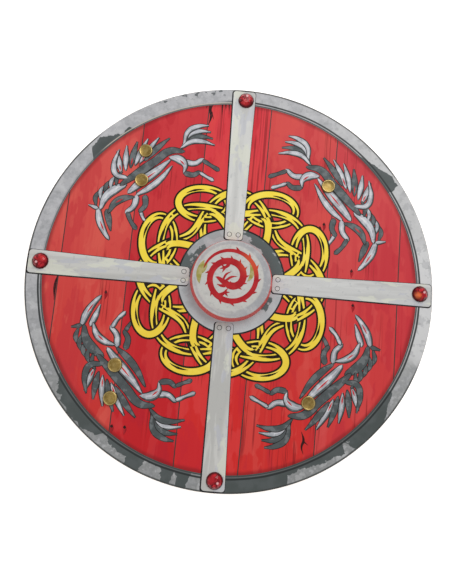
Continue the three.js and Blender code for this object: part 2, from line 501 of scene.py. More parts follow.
# ---------------------------------------------------------------------------
# Knotwork. A wreath of interlaced yellow bands round the boss: eight ovals and three waves,
# each passing over and under the others by turns. Flat print, outlined in dark brown.
oval_middle = (34.0, 75.0)
oval_halves = (25.0, 16.0)
knot_step = 1.5
knot_level = 0.08
knot_climb = 0.1
yellow_lift = 0.03
yellow_half = 3.1
brown_half = 4.9
spindle_lift = 0.015
spindle_half = 2.1
spindle_reach = 16.0
slit_half = 1.0
slit_reach = 10.0
bare_stretch = 24.0
strip_flatness = 0.0015


def strips(name, routes, closed=False):
    """Thin flat strips of paint along routes, each a list of (x, y, level, half width)."""
    bpy.ops.curve.primitive_nurbs_circle_add(radius=MM)
    nib = bpy.context.object
    nib.data.resolution_u = 2
    for point in nib.data.splines[0].points:
        point.co.y *= strip_flatness
    bpy.ops.curve.primitive_bezier_curve_add()
    strip = bpy.context.object
    strip.name = name
    curve = strip.data
    curve.splines.clear()
    for route in routes:
        spline = curve.splines.new("POLY" if closed else "BEZIER")
        points = spline.points if closed else spline.bezier_points
        points.add(len(route) - 1)
        spline.use_cyclic_u = closed
        spline.radius_interpolation = "CARDINAL"
        for point, (x, y, level, half_width) in zip(points, route):
            place = (x * MM, y * MM, (board_front + level) * MM)
            point.radius = half_width
            if closed:
                point.co = (*place, 1)
            else:
                point.co = place
                point.handle_left_type = point.handle_right_type = "AUTO"
    curve.dimensions = "3D"
    curve.twist_mode = "Z_UP"
    curve.resolution_u = 6
    curve.bevel_mode = "OBJECT"
    curve.bevel_object = nib
    curve.use_fill_caps = not closed
    use_only(strip)
    bpy.ops.object.convert(target="MESH")
    strip = bpy.context.object
    bpy.data.objects.remove(nib)
    edit(strip)
    bpy.ops.mesh.select_all(action="SELECT")
    bpy.ops.mesh.remove_doubles(threshold=1e-4 * MM)
    bpy.ops.mesh.normals_make_consistent(inside=False)
    close_edit()
    return strip


def polar(radius, angle):
    return np.stack([radius * np.cos(angle), radius * np.sin(angle)], axis=1)


def evenly(path):
    """A closed path again, with its points about knot_step apart."""
    ring = np.concatenate([path, path[:1]])
    far = np.concatenate([[0], np.cumsum(np.hypot(*np.diff(ring, axis=0).T))])
    stops = np.linspace(0, far[-1], round(far[-1] / knot_step), endpoint=False)
    return np.stack([np.interp(stops, far, ring[:, axis]) for axis in (0, 1)], axis=1)


def knot_paths():
    """The closed middle lines of the bands. The first one crosses all but the last."""
    swing = np.linspace(0.001, 2 * math.pi + 0.001, 1440, endpoint=False)
    paths = [polar(78 - 10 * np.cos(4 * swing), swing), polar(76 + 14 * np.cos(4 * swing), swing)]
    for (across, up), (wide, high) in ((oval_middle, oval_halves), (oval_middle[::-1], oval_halves[::-1])):
        for side_x, side_y in itertools.product((-1, 1), repeat=2):
            x = side_x * across + wide * np.cos(swing)
            y = side_y * up + high * np.sin(swing)
            paths.append(np.stack([x, y], axis=1))
    paths.append(polar(58 - 14 * np.cos(8 * swing), swing))
    return [evenly(path) for path in paths]


def crossings(first, second):
    """Where two closed paths cross, as pairs of places counted in points along each."""
    start, other = first[:, None], second[None]
    step = np.roll(first, -1, axis=0)[:, None] - start
    other_step = np.roll(second, -1, axis=0)[None] - other

    def cross(a, b):
        return a[..., 0] * b[..., 1] - a[..., 1] * b[..., 0]

    turning = cross(step, other_step)
    along = cross(other - start, other_step) / turning
    other_along = cross(other - start, step) / turning
    meets = (0 <= along) & (along < 1) & (0 <= other_along) & (other_along < 1)
    rows, columns = np.nonzero(meets)
    return zip(rows + along[meets], columns + other_along[meets])


def weave(paths):
    """For each path its crossings in order, as (place, 1 for over or 0 for under), by turns."""
    meetings = []
    for pair in itertools.combinations(range(len(paths)), 2):
        for places in crossings(*(paths[path] for path in pair)):
            meetings.append(dict(zip(pair, places)))
    height = {}
    turns = []
    for path in range(len(paths)):
        mine = sorted((places[path], number) for number, places in enumerate(meetings) if path in places)
        start = next(((1 - height[n] + step) % 2 for step, (_, n) in enumerate(mine) if n in height), 0)
        turns.append([(place, (start + step) % 2) for step, (place, _) in enumerate(mine)])
        for step, (_, number) in enumerate(mine):
            height.setdefault(number, (start + step) % 2)
    return turns


def band_levels(count, turns):
    """A band's height at each of its points: level near a crossing, and a smooth step between."""
    places, heights = np.array(turns).T
    places = np.concatenate([places - count, places, places + count])
    heights = np.tile(heights, 3)
    point = np.arange(count)
    ahead = np.searchsorted(places, point, side="right")
    share = (point - places[ahead - 1]) / (places[ahead] - places[ahead - 1])
    share = np.clip((share - 0.3) / 0.4, 0, 1)
    share = share * share * (3 - 2 * share)
    return knot_level + knot_climb * (heights[ahead - 1] * (1 - share) + heights[ahead] * share)


yellow_routes, brown_routes, spindle_routes = [], [], []


def spindle(path, levels, place, reach, widest):
    """A dark pointed stroke along a band, on both sides of a place on it."""
    stroke = []
    for share in (-1, -0.75, -0.5, -0.25, 0, 0.25, 0.5, 0.75, 1):
        point = round(place + share * reach / knot_step) % len(path)
        half_width = 0.1 + widest * (1 - abs(share)) ** 0.8
        stroke.append((*path[point], levels[point] + yellow_lift + spindle_lift, half_width))
    return stroke


knots = knot_paths()
for path, turns in zip(knots, weave(knots)):
    levels = band_levels(len(path), turns)
    brown_routes.append([(x, y, level, brown_half) for (x, y), level in zip(path, levels)])
    yellow_routes.append([(x, y, level + yellow_lift, yellow_half) for (x, y), level in zip(path, levels)])
    for (place, height), (next_place, _) in zip(turns, turns[1:] + [(turns[0][0] + len(path), 0)]):
        if height == 0:
            spindle_routes.append(spindle(path, levels, place, spindle_reach, spindle_half))
        if (next_place - place) * knot_step > bare_stretch:
            middle = (place + next_place) / 2
            spindle_routes.append(spindle(path * 0.985, levels, middle, slit_reach, slit_half))

brown_ink = Finish("brown_ink", Roughness=0.5, Specular_IOR_Level=0.1)
ink_wear = brown_ink.noise(7, (1, 1, 1), 3.0)
brown_ink.start(ink_wear.fade(0.4, 0.7), (0.012, 0.009, 0.005), (0.026, 0.018, 0.01))
brown_ink.feed("Base Color", brown_ink.tone)
yellow_ink = Finish("yellow_ink", Roughness=0.45, Specular_IOR_Level=0.2)
yellow_ink.start(yellow_ink.y.fade(90, -90), (0.9, 0.7, 0.06), (0.83, 0.61, 0.055))
yellow_patches = yellow_ink.noise(13, (1, 1, 1), 3.0)
yellow_ink.lay(yellow_patches.fade(0.5, 0.75) * 0.5, (0.95, 0.8, 0.15))
yellow_ink.lay(yellow_patches.fade(0.45, 0.25) * 0.4, (0.78, 0.53, 0.035))
yellow_ink.feed("Base Color", yellow_ink.tone)
for name, routes, closed, ink in (
    ("knot_outline", brown_routes, True, brown_ink),
    ("knot_bands", yellow_routes, True, yellow_ink),
    ("knot_shadows", spindle_routes, False, brown_ink),
):
    knot_print = strips(name, routes, closed)
    ink.dress(knot_print)
    settle(knot_print, name)

# ---------------------------------------------------------------------------
# Cracks and nail marks. Dark splits printed on the red planks, widest where they start at
# the rim or at a knot, and small round marks with a smear below them.
crack_level = 0.07
mark_half = 1.5
smear_length = 7.0
splits = [
    [(-35, 183.6, 2.7), (-36, 176, 1.5), (-34.5, 168, 1.3), (-36.5, 158, 0.2)],
    [(-39, 183, 0.9), (-40, 176, 0.15)],
    [(-34.5, 173, 0.9), (-31.5, 165, 0.15)],
    [(-168, -8, 0.3), (-169.5, -20, 1.3), (-168.5, -34, 0.2)],
    [(78, -138, 0.2), (80.5, -146, 1.2), (79, -152, 0.9), (81, -159, 0.15)],
    [(85, -150, 0.15), (80, -146.5, 0.9)],
    *([(x, 184, 0.8), (x + 0.6, low, 0.15)]
      for x, low in ((-24, 171), (-20.5, 176), (-17, 172), (-14.5, 179))),
]
marks = [(88, 65), (84, 61), (118, 20), (121, -14), (-120, -22), (-100, -147), (-88, -147)]

split_ink = Finish("split_ink", Roughness=0.5, Specular_IOR_Level=0.1)
split_wear = split_ink.noise(3, (1, 1, 1), 3.0)
split_ink.start(split_wear.fade(0.45, 0.65), (0.03, 0.01, 0.01), (0.09, 0.016, 0.018))
split_ink.feed("Base Color", split_ink.tone)
smear_ink = Finish("smear_ink", Roughness=0.5, Specular_IOR_Level=0.1)
smear_wear = smear_ink.noise(3, (1, 0.2, 1), 3.0)
smear_ink.start(smear_wear.fade(0.45, 0.6), (0.3, 0.012, 0.018), (0.42, 0.022, 0.028))
smear_ink.feed("Base Color", smear_ink.tone)
split_routes = [[(x, y, crack_level, half) for x, y, half in split] for split in splits]
smear_routes = []
for x, y in marks:
    split_routes.append([(x, y + mark_half, crack_level, 0.3), (x, y, crack_level, mark_half),
                         (x + 0.2, y - mark_half, crack_level, 0.3)])
    smear_routes.append([(x, y + 2, crack_level - 0.005, 0.4), (x + 0.4, y - 2, crack_level - 0.005, 1.7),
                         (x, y - smear_length, crack_level - 0.005, 0.2)])
for name, routes, ink in (("splits", split_routes, split_ink), ("nail_smears", smear_routes, smear_ink)):
    piece = strips(name, routes)
    ink.dress(piece)
    settle(piece, name)

# ---------------------------------------------------------------------------
# Winged horses. One in each quarter, leaping round the board with its feet to the middle,
# in loose brush strokes of silver and slate with dark edges. One horse is drawn on a
# straight line and bent round; the others are it turned over.
edge_width = 0.7
stroke_level = 0.08
stroke_step = 0.03
stroke_layers = 6
ink_lift = 0.007
slit_level = stroke_level + stroke_step * stroke_layers
horse_slit_half = 0.7
slit_on_half = 2.6
shine_share = 0.24
lit_side = (-0.35, 0.35)
silver_shares = {1: 0.8, -1: 0.72}
point_length = 2.4
blunt_half = 0.7
horse_radius = 139.0
horse_bearing = 132.0

# Each stroke: its tone on the upper horses, its tone on the lower ones, then its points.
# A point is how far along the horse it is from the middle to the tail, its height and half width.
horse = [
    # head and ear
    ("silver", "silver", (-60, 10, 2.2), (-68, 4, 3.4), (-77, -5, 2.4), (-82, -11, 1.4)),
    ("slate", "silver", (-57, 2, 2.2), (-64, -4, 2.6), (-72, -9.5, 0.8)),
    ("silver", "slate", (-59, 13, 1.8), (-60, 21, 0.4)),
    # neck
    ("silver", "slate", (-57, 9, 1.6), (-46, 11, 3.8), (-34, 8, 4.2), (-26, 4, 2.0)),
    ("slate", "silver", (-56, 0, 1.2), (-46, 0, 3.0), (-37, -4, 3.0), (-30, -10, 1.2)),
    # body
    ("slate", "slate", (-27, 7, 1.6), (-10, 4.5, 3.6), (12, 4.5, 3.8), (30, 7, 3.4), (41, 2, 1.6)),
    ("silver", "silver", (-28, -4, 2.0), (-12, -5, 4.2), (8, -5, 3.8), (25, -2, 1.0)),
    ("silver", "slate", (-24, -12, 1.2), (-10, -15, 3.0), (8, -14, 2.6), (23, -9, 0.8)),
    ("silver", "silver", (28, 0, 2.0), (35, -5, 4.2), (38, -13, 2.6), (34, -19, 0.8)),
    # forelegs
    ("silver", "silver", (-27, -13, 2.6), (-37, -17, 2.6), (-47, -15, 1.8)),
    ("slate", "silver", (-48, -17, 1.8), (-54, -24, 1.5), (-58, -31, 1.8)),
    ("slate", "slate", (-20, -19, 2.4), (-28, -25, 2.2), (-37, -25, 1.6)),
    ("silver", "slate", (-38, -27, 1.6), (-42, -32, 1.3), (-45, -38, 1.6)),
    # hind legs
    ("silver", "silver", (40, -10, 2.6), (49, -14, 2.5), (58, -12, 1.8)),
    ("slate", "silver", (60, -14, 1.7), (67, -20, 1.4), (74, -25, 1.8)),
    ("slate", "slate", (35, -21, 2.2), (43, -25, 2.2), (51, -24, 1.6)),
    ("silver", "slate", (53, -26, 1.5), (59, -31, 1.3), (65, -35, 1.7)),
    # wing bone
    ("silver", "slate", (-20, 9, 1.6), (-24, 18, 2.6), (-19, 27, 2.4), (-9, 34, 0.8)),
]
# Wing: feathers fan out along the bone, each longer and flatter than the one before
feathers = 6
feather_bearing, feather_fan = 62, 9
feather_shape = ((0, 1.2), (0.4, 2.7), (0.75, 2.0), (1.1, 0.4))
for number in range(feathers):
    bearing = math.radians(feather_bearing - feather_fan * number)
    root_x, root_y = -19 + 5 * number, 17 - 1.2 * number
    length = 19 + 1.6 * number
    feather = [(root_x + length * share * math.cos(bearing), root_y + length * share * math.sin(bearing), half)
               for share, half in feather_shape]
    horse.append(("slate" if number % 3 == 2 else "silver", "slate" if number % 2 else "silver", *feather))
# Mane: locks along the neck
mane_locks, lock_step = 5, 6.5
for number in range(mane_locks):
    root_x = -56 + lock_step * number
    lock = ((root_x, 15.5 - number, 1.0), (root_x + 5, 19.5 - number, 1.9), (root_x + 12, 20 - number, 0.4))
    horse.append(("silver" if number % 2 else "slate", "slate", *lock))
# Tail: strands that spread
tail_strands, strand_step = 4, 5.5
for number in range(tail_strands):
    rise = strand_step * number
    strand = ((42 + number, 6 + number, 1.0), (52, 9 + rise * 0.7, 2.4), (62, 7 + rise, 2.2),
              (74 - number, 1 + 1.3 * rise, 0.4))
    horse.append(("slate" if number == 1 else "silver", "silver" if number == 1 else "slate", *strand))

# A quarter's horse: how x and y are turned over, and how far round it is moved, in degrees
horse_places = {
    "top_left": (1, 1, 0),
    "top_right": (-1, 1, 4),
    "bottom_left": (1, -1, 2),
    "bottom_right": (-1, -1, 3),
}
beast_tones = {
    "silver": ((0.45, 0.46, 0.5), (0.56, 0.57, 0.6), (0.3, 0.31, 0.33)),
    "slate": ((0.1, 0.115, 0.12), (0.16, 0.175, 0.18), (0.07, 0.08, 0.082)),
    "shine": ((0.6, 0.6, 0.63), (0.7, 0.7, 0.72), (0.46, 0.47, 0.5)),
    "edge": ((0.03, 0.026, 0.026), (0.055, 0.05, 0.05), (0.02, 0.018, 0.018)),
    "slits": ((0.55, 0.035, 0.045), (0.6, 0.06, 0.06), (0.48, 0.02, 0.028)),
}


def beast_ink(name, tone, lighter, darker):
    ink = Finish(name, Roughness=0.48, Specular_IOR_Level=0.12)
    patches = ink.noise(7, (1, 1, 1), 4.0)
    colour = ink.mix(ink.y.fade(20, -60) * 0.55, tone, darker)
    colour = ink.mix(patches.fade(0.52, 0.58) * 0.8, colour, lighter)
    ink.feed("Base Color", ink.mix(patches.fade(0.45, 0.39) * 0.8, colour, darker))
    return ink


def pointed(points):
    """A stroke whose blunt ends run out to a point."""
    points = list(points)
    for end, inner in ((0, 1), (-1, -2)):
        (x, y, half), (inner_x, inner_y, _) = points[end], points[inner]
        if half > blunt_half:
            ratio = point_length / math.dist((x, y), (inner_x, inner_y))
            tip = (x + (x - inner_x) * ratio, y + (y - inner_y) * ratio, 0.15)
            points.insert(0 if end == 0 else len(points), tip)
    return points


def bent_round(along, height, moved):
    """A place on the horse, bent round the middle of the board in the upper left quarter."""
    bearing = math.radians(horse_bearing + moved) - along / horse_radius
    distance = horse_radius + height
    return distance * math.cos(bearing), distance * math.sin(bearing)


def slit_along(stroke):
    """A short slit in the widest stretch of a stroke, where the plank's red shows."""
    (x1, y1, _), (x2, y2, _) = stroke[len(stroke) // 2 - 1], stroke[len(stroke) // 2]
    return [(x1 + share * (x2 - x1), y1 + share * (y2 - y1), slit_level, half)
            for share, half in ((0.1, 0.2), (0.5, horse_slit_half), (0.9, 0.2))]


beast_inks = {name: beast_ink(f"beast_{name}", *tones) for name, tones in beast_tones.items()}
for quarter, (turn_x, turn_y, moved) in horse_places.items():
    routes = {"edge": [], "slate": [], "silver": [], "shine": [], "slits": []}
    for number, (upper_tone, lower_tone, *points) in enumerate(horse):
        level = stroke_level + stroke_step * (number % stroke_layers)
        stroke = []
        for along, height, half in pointed(points):
            x, y = bent_round(along, height, moved)
            stroke.append((turn_x * x, turn_y * y, half))
        if max(half for _, _, half in stroke) > slit_on_half and number % 2 == 0:
            routes["slits"].append(slit_along(stroke))
        routes["edge"].append([(x, y, level, half + edge_width) for x, y, half in stroke])
        routes["slate"].append([(x, y, level + ink_lift, half) for x, y, half in stroke])
        if (upper_tone if turn_y > 0 else lower_tone) == "silver":
            lit = [(x + lit_side[0], y + lit_side[1], half) for x, y, half in stroke]
            share = silver_shares[turn_y]
            routes["silver"].append([(x, y, level + 2 * ink_lift, share * half) for x, y, half in lit])
            core = [(x, y, level + 3 * ink_lift, shine_share * half) for x, y, half in lit[1:-1]]
            if len(core) > 1:
                core[0] = (*core[0][:3], 0.1)
                core[-1] = (*core[-1][:3], 0.1)
                routes["shine"].append(core)
    for tone, lines in routes.items():
        strokes = strips(f"horse_{quarter}_{tone}", lines)
        beast_inks[tone].dress(strokes)
        settle(strokes, f"horse_{quarter}_{tone}")

# ---------------------------------------------------------------------------
# Boss ring. A printed grey washer under the boss, worn to slate at the upper right and at
# the left, with a black line round it.
ring_inner = 39.0
ring_outer = 51.5
ring_line = 1.6
ring_coat = 0.3
ring_line_coat = 0.27

ring_edge = flat_ring(ring_outer + ring_line, ring_inner, ring_line_coat, 128)
black_ink = Finish("black_ink", Roughness=0.5, Specular_IOR_Level=0.1)
black_wear = black_ink.noise(8, (1, 1, 1), 3.0)
black_ink.start(black_wear.fade(0.4, 0.7), (0.016, 0.015, 0.016), (0.04, 0.038, 0.04))
black_ink.feed("Base Color", black_ink.tone)
black_ink.dress(ring_edge)
settle(ring_edge, "boss_ring_line", 0)

washer = flat_ring(ring_outer, ring_inner, ring_coat, 128)
washer_print = Finish("boss_ring_print", Roughness=0.46, Specular_IOR_Level=0.2)
washer_mottle = washer_print.noise(12, (1, 1, 1), 4.0)
washer_torn = washer_print.noise(5, (1, 1, 1), 3.0, (6, 4, 0)) - 0.5
washer_distance, washer_bearing = washer_print.round_from()
washer_print.start(washer_mottle.fade(0.47, 0.44) * 0.5, (0.39, 0.41, 0.42), (0.28, 0.3, 0.31))
washer_print.lay(washer_mottle.fade(0.55, 0.58) * 0.35, (0.49, 0.51, 0.52))
# Painted light: the ring is lighter towards the bottom, where the boss's shadow falls.
washer_print.lay(washer_print.y.fade(0, -50) * 0.6, (0.53, 0.55, 0.56))
washer_slate = None
for middle, half, inner, outer in (
    (25, 22, 38, 54), (52, 17, 42, 54), (70, 9, 47, 54),
    (167, 15, 38, 54), (148, 15, 38, 46), (-28, 11, 38, 45),
):
    beside = (washer_bearing + 14 * washer_torn - middle).absolute().fade(half + 1, half - 1)
    distance = washer_distance + 5 * washer_torn
    patch = beside * distance.fade(inner - 0.4, inner + 0.4) * distance.fade(outer + 0.4, outer - 0.4)
    washer_slate = patch if washer_slate is None else washer_slate.most(patch)
streak = washer_print.noise(4.5, (1, 1, 1), 2.0, (2, 30, 0)).fade(0.64, 0.67)
washer_print.lay(washer_slate * (1.0 - 0.7 * streak), (0.095, 0.118, 0.118))
washer_print.feed("Base Color", washer_print.tone)
washer_print.dress(washer)
settle(washer, "boss_ring", 0)

# ---------------------------------------------------------------------------
# Bars. Four pale bars printed from the boss ring to the rim, each with two drawn rivets at
# its inner end and a dark line along its left and lower sides.
bar_coat = 0.34
bar_line_coat = 0.32
bar_line = 1.7
bar_corner = 3.0
drawn_rivet = 2.0
drawn_rivet_line = 0.5
drawn_rivet_inset = 5.3
drawn_rivet_spread = 4.4

# direction, then (distance from the middle, offset sideways, half width) at the inner and outer end
bars = {
    "top": ((0, 1), (41.0, -1.2, 8.75), (198.1, -2.0, 11.5), (0.6, 0.6, 0.58)),
    "right": ((1, 0), (40.5, 0.5, 9.0), (198.1, 2.2, 11.2), (0.56, 0.56, 0.55)),
    "bottom": ((0, -1), (41.5, -3.2, 8.75), (198.1, -1.0, 11.0), (0.56, 0.555, 0.53)),
    "left": ((-1, 0), (41.5, 0.5, 9.0), (198.1, 2.5, 11.5), (0.55, 0.545, 0.52)),
}


def bar_plate(name, direction, inner, outer, spread, shift, coat):
    """A flat bar of paint that widens outwards, with rounded inner corners."""
    (near, near_side, near_half), (far, far_side, far_half) = inner, outer
    upright = direction[0] == 0
    middle = (near + far) / 2
    place = (direction[0] * middle * MM, direction[1] * middle * MM, board_front * MM)
    bpy.ops.mesh.primitive_plane_add(size=MM, location=place)
    plate = bpy.context.object
    plate.name = name
    ends = ((near - spread * 0.6, near_side, near_half), (far + spread, far_side, far_half))
    for distance, side, half in ends:
        outwards = (distance > middle) == (direction[0] + direction[1] > 0)
        along = 1 if upright else 0
        # going into edit mode and out again leaves nothing selected but the end picked here
        edit(plate)
        close_edit()
        for vertex in plate.data.vertices:
            vertex.select = (vertex.co[along] > 0) == outwards
        bpy.ops.object.mode_set(mode="EDIT")
        wide = 2 * (half + spread)
        scale = (wide, 1, 1) if upright else (1, wide, 1)
        bpy.ops.transform.resize(value=scale, center_override=place)
        reach = (distance - middle) * MM - math.copysign(MM / 2, distance - middle)
        sideways = (side * MM, direction[1] * reach, 0) if upright else (direction[0] * reach, side * MM, 0)
        bpy.ops.transform.translate(value=(sideways[0] + shift[0] * MM, sideways[1] + shift[1] * MM, 0))
        close_edit()
    use_only(plate)
    bpy.ops.object.mode_set(mode="EDIT")
    bpy.ops.mesh.select_all(action="SELECT")
    bpy.ops.mesh.bevel(offset=bar_corner * MM, segments=5, affect="VERTICES")
    close_edit()
    thicken(plate, coat)
    return plate


def bar_finish(name, direction, tone):
    """Worn pale metal: blotches, and streaks along the bar."""
    metal = Finish(name, Roughness=0.42, Specular_IOR_Level=0.3)
    stretch = (1, 0.12, 1) if direction[0] == 0 else (0.12, 1, 1)
    cream_stretch = (1, 0.35, 1) if direction[0] == 0 else (0.35, 1, 1)
    streaks = metal.noise(5.5, stretch, 3.0)
    blotches = metal.noise(26, stretch, 2.0, (40, 12, 0))
    darker = tuple(0.78 * channel for channel in tone)
    lighter = tuple(min(1.16 * channel, 0.8) for channel in tone)
    metal.start(blotches.fade(0.47, 0.36) * 0.8, tone, darker)
    metal.lay(blotches.fade(0.54, 0.66), lighter)
    metal.lay(streaks.fade(0.52, 0.62) * 0.5, lighter)
    metal.lay(streaks.fade(0.44, 0.34) * 0.35, darker)
    cream = metal.noise(17, cream_stretch, 4.0, (5, 60, 0)).fade(0.56, 0.59)
    metal.lay(cream * 0.6, (0.66, 0.67, 0.56))
    lilac = metal.noise(12, cream_stretch, 4.0, (80, 5, 0)).fade(0.57, 0.6)
    metal.lay(lilac * 0.6, (0.47, 0.48, 0.53))
    smudges = metal.noise(4.5, (1, 1, 1), 3.0, (15, 25, 0)).fade(0.63, 0.68)
    metal.lay(smudges * 0.35, (0.36, 0.37, 0.39))
    metal.feed("Base Color", metal.tone)
    return metal


for name, (direction, inner, outer, tone) in bars.items():
    line = bar_plate(f"bar_{name}_line", direction, inner, outer, bar_line / 2, (-0.45, -0.4), bar_line_coat)
    black_ink.dress(line)
    settle(line, f"bar_{name}_line", 0)
    plate = bar_plate(f"bar_{name}", direction, inner, outer, 0, (0, 0), bar_coat)
    metal = bar_finish(f"bar_metal_{name}", direction, tone)
    metal.dress(plate)
    settle(plate, f"bar_{name}", 0)
    for side in (-1, 1):
        reach = inner[0] + drawn_rivet_inset
        offset = inner[1] + side * drawn_rivet_spread
        x = direction[0] * reach + abs(direction[1]) * offset
        y = direction[1] * reach + abs(direction[0]) * offset
        for part, radius, coat, ink in (
            ("line", drawn_rivet + drawn_rivet_line, bar_coat + 0.02, black_ink),
            ("head", drawn_rivet, bar_coat + 0.04, metal),
        ):
            place = (x * MM, y * MM, board_front * MM)
            bpy.ops.mesh.primitive_circle_add(vertices=24, radius=radius * MM,
                                              fill_type="NGON", location=place)
            dot = bpy.context.object
            thicken(dot, coat)
            ink.dress(dot)
            number = "first" if side < 0 else "second"
            settle(dot, f"bar_{name}_rivet_{part}_{number}", 0)

# ---------------------------------------------------------------------------
# Boss. A turned wooden disc glued on the middle, its side painted red, and its top covered
# by a pale printed roundel with a coiled dragon in red strokes.
boss_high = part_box("boss")[1]
boss_base_radius = boss_high.x / MM
boss_taper = 2.4
boss_top_radius = boss_base_radius - boss_taper
boss_round = 1.2
print_room = 0.3
boss_top = boss_high.z / MM - print_room
roundel_middle = (-1.3, 1.0)

boss = turn("boss_disc", [
    (boss_base_radius, board_front),
    *rounding(boss_top_radius - boss_round, boss_top - boss_round, boss_round, 5, 0),
], 160)
boss_paint = Finish("boss_paint", Roughness=0.42, Specular_IOR_Level=0.25)
boss_mottle = boss_paint.noise(11, (1, 1, 1), 4.0)
boss_fine = boss_paint.noise(3, (1, 1, 1), 4.0, (5, 5, 0))
boss_distance, _ = boss_paint.round_from()
roundel_distance, _ = boss_paint.round_from(*roundel_middle)
boss_edge_tone = boss_paint.mix(boss_paint.x.fade(-30, 34), (0.52, 0.49, 0.47), (0.34, 0.345, 0.36))
boss_paint.start(roundel_distance.fade(31.0, 33.0), (0.53, 0.52, 0.49), boss_edge_tone)
boss_paint.lay((boss_distance - 35.2).absolute().fade(1.9, 0.5) * 0.55, (0.35, 0.34, 0.355))
boss_paint.lay(boss_mottle.fade(0.5, 0.7) * 0.4, (0.56, 0.545, 0.54))
boss_paint.lay(boss_mottle.fade(0.46, 0.28) * 0.35, (0.36, 0.345, 0.35))
boss_paint.lay(boss_fine.fade(0.57, 0.66) * 0.3, (0.62, 0.61, 0.6))
boss_paint.lay(boss_fine.fade(0.43, 0.34) * 0.3, (0.3, 0.3, 0.3))
side_red = boss_paint.mix(boss_fine.fade(0.35, 0.65), (0.68, 0.085, 0.08), (0.78, 0.12, 0.11))
on_top = boss_paint.z.fade(boss_top - 0.75, boss_top - 0.2)
boss_paint.feed("Base Color", boss_paint.mix(on_top, side_red, boss_paint.tone))
boss_paint.bump(boss_fine, 0.04, 0.5)
boss_paint.dress(boss)
settle(boss, "boss_disc", 35)
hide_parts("boss")


def bow(middle, radius, start, end, widest, thick_at=0.5):
    """A stroke along an arc, in degrees round its middle, pointed at both ends."""
    stroke = []
    for step in range(9):
        share = step / 8
        angle = math.radians(start + (end - start) * share)
        swell = share / thick_at if share < thick_at else (1 - share) / (1 - thick_at)
        half = 0.15 + widest * math.sin(math.pi / 2 * swell) ** 0.8
        stroke.append((middle[0] + radius * math.cos(angle), middle[1] + radius * math.sin(angle), half))
    return stroke


def on_coil(turned, aside=0.0):
    """A place on the dragon's coil, by degrees turned from the tail's tip, with its half width."""
    bearing = math.radians(coil_start - turned)
    distance = coil_outer - coil_tighten * (turned / coil_turn) ** 1.6 + aside
    half = 0.3 + coil_half * (turned / coil_turn) ** 0.4
    return distance * math.cos(bearing), distance * math.sin(bearing), half


def leg(knee, paw, toes):
    """A leg to the coil's inside, with a fan of three claws; toes is the middle claw's bearing."""
    strokes = [[knee, ((knee[0] + paw[0]) / 2 + 1, (knee[1] + paw[1]) / 2, 1.7), (*paw, 1.2)]]
    for spread in (-50, 0, 50):
        angle = math.radians(toes + spread)
        strokes.append([(*paw, 1.1), (paw[0] + 2.6 * math.cos(angle), paw[1] + 2.6 * math.sin(angle), 0.8),
                        (paw[0] + 5.2 * math.cos(angle), paw[1] + 5.2 * math.sin(angle), 0.15)])
    return strokes


coil_start = 165
coil_turn = 560
coil_end = 630
coil_outer = 27.2
coil_tighten = 17.0
coil_half = 3.1
spine_reach = 2.4
spine_lag = 9
spine_range = (90, 600, 27)
coil_step = 14
dragon = [
    [on_coil(turned) for turned in range(0, coil_end + 1, coil_step)],
    # jaws and horns
    [(3, -8.4, 1.6), (-3, -6.2, 2.9), (-8, -3.4, 2.3), (-12, -1, 1.3), (-14.3, -0.4, 0.2)],
    [(-4, -8.2, 1.6), (-8.5, -8.4, 1.2), (-12.3, -7.2, 0.2)],
    [(-4, -3, 1.1), (1, 0.8, 1.0), (6.5, 1.6, 0.15)],
    [(-6.5, -1.5, 1.0), (-4, 3.2, 0.9), (0.5, 6, 0.15)],
    *leg((-2.5, 14.5, 1.8), (-6, 9.2), 195),
    *leg((-10, -18, 1.9), (-4.5, -14.6), 5),
]
for turned in range(*spine_range):
    root_x, root_y, half = on_coil(turned)
    tip_x, tip_y, _ = on_coil(turned - spine_lag, half + spine_reach)
    middle = ((root_x + tip_x) / 2, (root_y + tip_y) / 2)
    dragon.append([(root_x, root_y, 1.2), (*middle, 1.1), (tip_x, tip_y, 0.15)])
dragon_moss = [
    bow((0, 0), 30.2, 196, 150, 2.6),
    bow((0, 0), 27.0, 176, 150, 2.2),
    bow((8, 7), 12.4, -48, 42, 2.0),
    bow((0, 0), 25.0, 66, 40, 1.1),
]


def roundel_print(name, strokes, level, ink):
    routes = []
    for number, stroke in enumerate(strokes):
        lift = boss_top - board_front + level + 0.02 * (number % 3)
        placed = [(x + roundel_middle[0], y + roundel_middle[1], lift, half) for x, y, half in stroke]
        routes.append(placed)
    piece = strips(name, routes)
    ink.dress(piece)
    return settle(piece, name)


dragon_red = Finish("dragon_red", Roughness=0.42, Specular_IOR_Level=0.12)
red_patches = dragon_red.noise(8, (1, 1, 1), 3.0)
dragon_red.start(red_patches.fade(0.4, 0.62), (0.38, 0.014, 0.02), (0.45, 0.022, 0.026))
# Painted highlight: an orange glow on the dragon towards the upper right.
from_painted_highlight, _ = dragon_red.round_from(20, 19)
dragon_red.lay(from_painted_highlight.fade(19, 4) * 0.85, (0.62, 0.085, 0.035))
dragon_red.feed("Base Color", dragon_red.tone)
moss = Finish("dragon_moss", Roughness=0.42, Specular_IOR_Level=0.4)
moss_patches = moss.noise(4, (1, 1, 1), 3.0)
moss.feed("Base Color", moss.mix(moss_patches.fade(0.4, 0.65), (0.3, 0.27, 0.05), (0.42, 0.36, 0.15)))
roundel_print("roundel_moss", dragon_moss, 0.03, moss)
roundel_print("roundel_dragon", dragon, 0.12, dragon_red)

# ---------------------------------------------------------------------------
# Stones. Four moulded acrylic brilliants glued on the rim where the bars end: a girdle of
# sixteen sides, eight crown facets and an eight-sided table.
facet_turn = math.pi / 8


